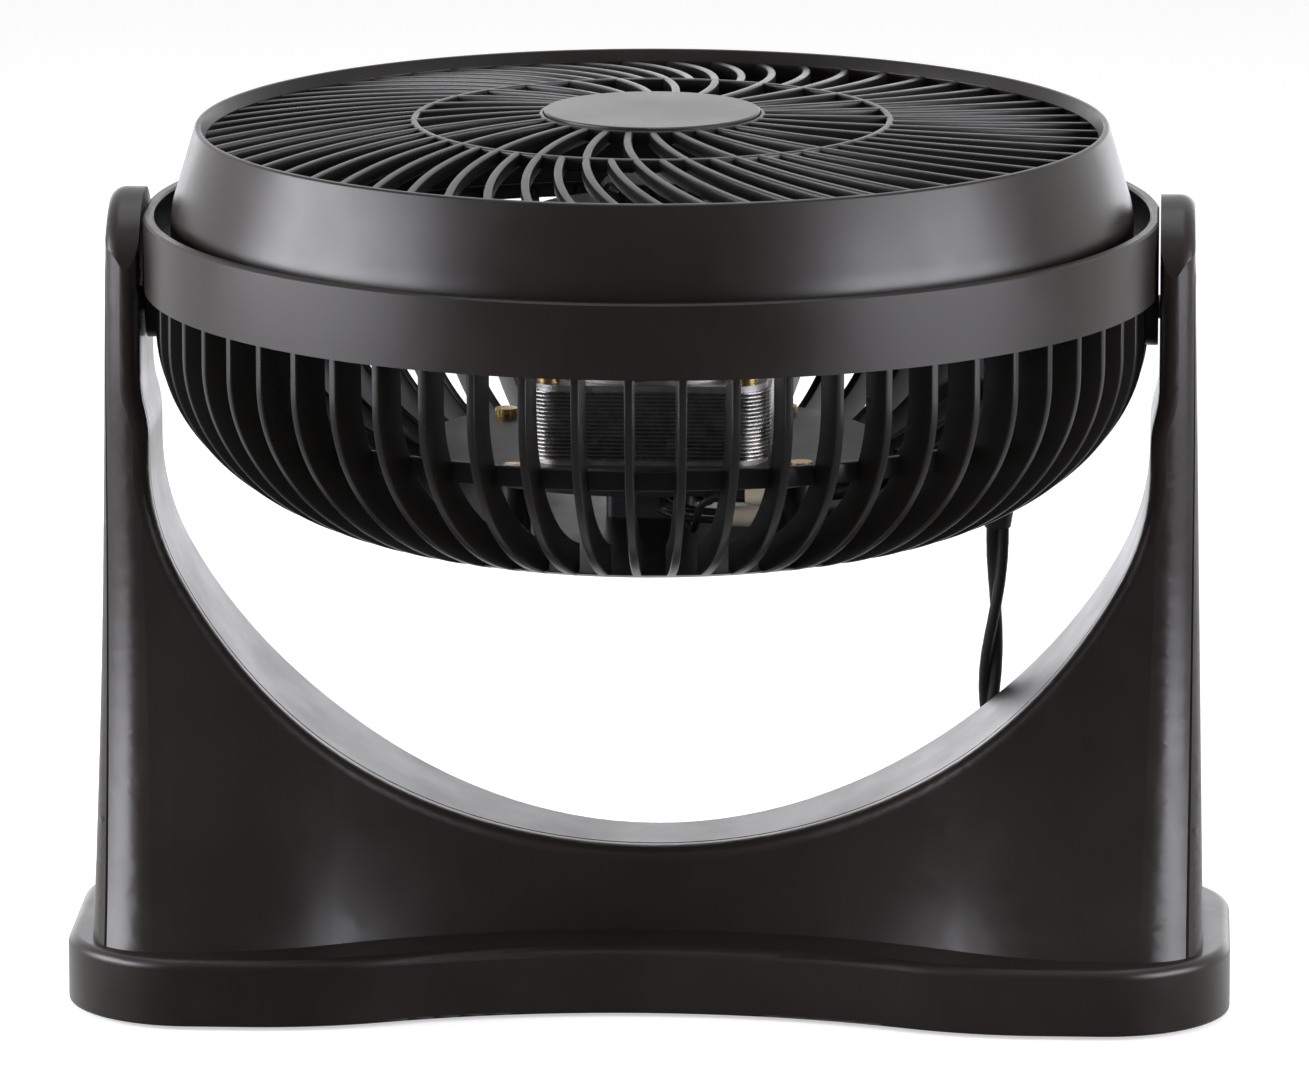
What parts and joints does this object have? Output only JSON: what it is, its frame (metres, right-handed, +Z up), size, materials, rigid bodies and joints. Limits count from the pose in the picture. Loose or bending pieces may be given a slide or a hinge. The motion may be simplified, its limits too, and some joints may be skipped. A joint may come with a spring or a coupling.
{
  "type": "air circulator fan",
  "caption": "Tabletop air circulator fan: round caged head with a swirled front grille, tilting between the arms of an arched stand on a hollow base.",
  "frame": {"origin": "middle of the resting plane under the rubber feet, halfway between the arms", "axes": "+Z up, +X to the right along the base, the front of the fan faces -Y; at rest the head faces straight up along +Z"},
  "size_m": [0.2906, 0.2834, 0.2237],
  "materials": {
    "shell_plastic": "satin",
    "badge_plastic": "satin",
    "fan_plastic": "satin",
    "steel": "satin",
    "lamination": "satin",
    "motor_plate": "satin",
    "sintered_bronze": "satin",
    "brass": "polished",
    "copper": "gloss",
    "rubber": "matte",
    "cord_rubber": "matte",
    "white_nylon": "satin",
    "natural_nylon": "satin",
    "switch_plastic": "matte"
  },
  "bodies": {
    "stand": {"base_shell": "shell_plastic", "bottom_plate": "shell_plastic", "bottom_screws": "steel", "rubber_feet": "rubber", "stand_screws": "steel", "stand_front": "shell_plastic", "stand_rear": "shell_plastic", "seam_screws": "steel", "pivot_bushes": "natural_nylon", "spring_washers": "steel", "pivot_screws": "steel", "pivot_caps": "shell_plastic", "cord": "cord_rubber", "cord_coil": "cord_rubber", "coil_tie": "rubber", "cord_tail": "cord_rubber", "plug": "rubber", "plug_blades": "brass"},
    "head": {"tilt_band": "shell_plastic", "rear_basket": "shell_plastic", "rim_screws": "steel", "front_grille": "shell_plastic", "centre_badge": "badge_plastic", "stator_stack": "lamination", "windings": "copper", "rear_bracket": "motor_plate", "front_bracket": "motor_plate", "bearings": "sintered_bronze", "motor_screws": "brass", "motor_platform": "motor_plate", "platform_screws": "steel", "rotary_switch": "switch_plastic", "lead_wires": "cord_rubber", "wire_connectors": "white_nylon", "cord_gland": "rubber"},
    "impeller": {"impeller": "fan_plastic", "impeller_nut": "fan_plastic", "motor_shaft": "steel", "rotor": "lamination"},
    "knob": {"speed_knob": "shell_plastic", "switch_spindle": "natural_nylon"}
  },
  "joints": [
    {"name": "head_tilt", "type": "hinge", "parent": "stand", "child": "head", "pos_m": [0, 0, 0.175], "axis": [1, 0, 0], "range_deg": [0, 90], "deforming": ["cord"]},
    {"name": "impeller_spin", "type": "hinge", "parent": "head", "child": "impeller", "pos_m": [0, 0, 0.175], "axis": [0, 0, 1], "continuous": true},
    {"name": "knob_turn", "type": "hinge", "parent": "head", "child": "knob", "pos_m": [0, 0, 0.114], "axis": [0, 0, 1], "range_deg": [0, 135]}
  ]
}
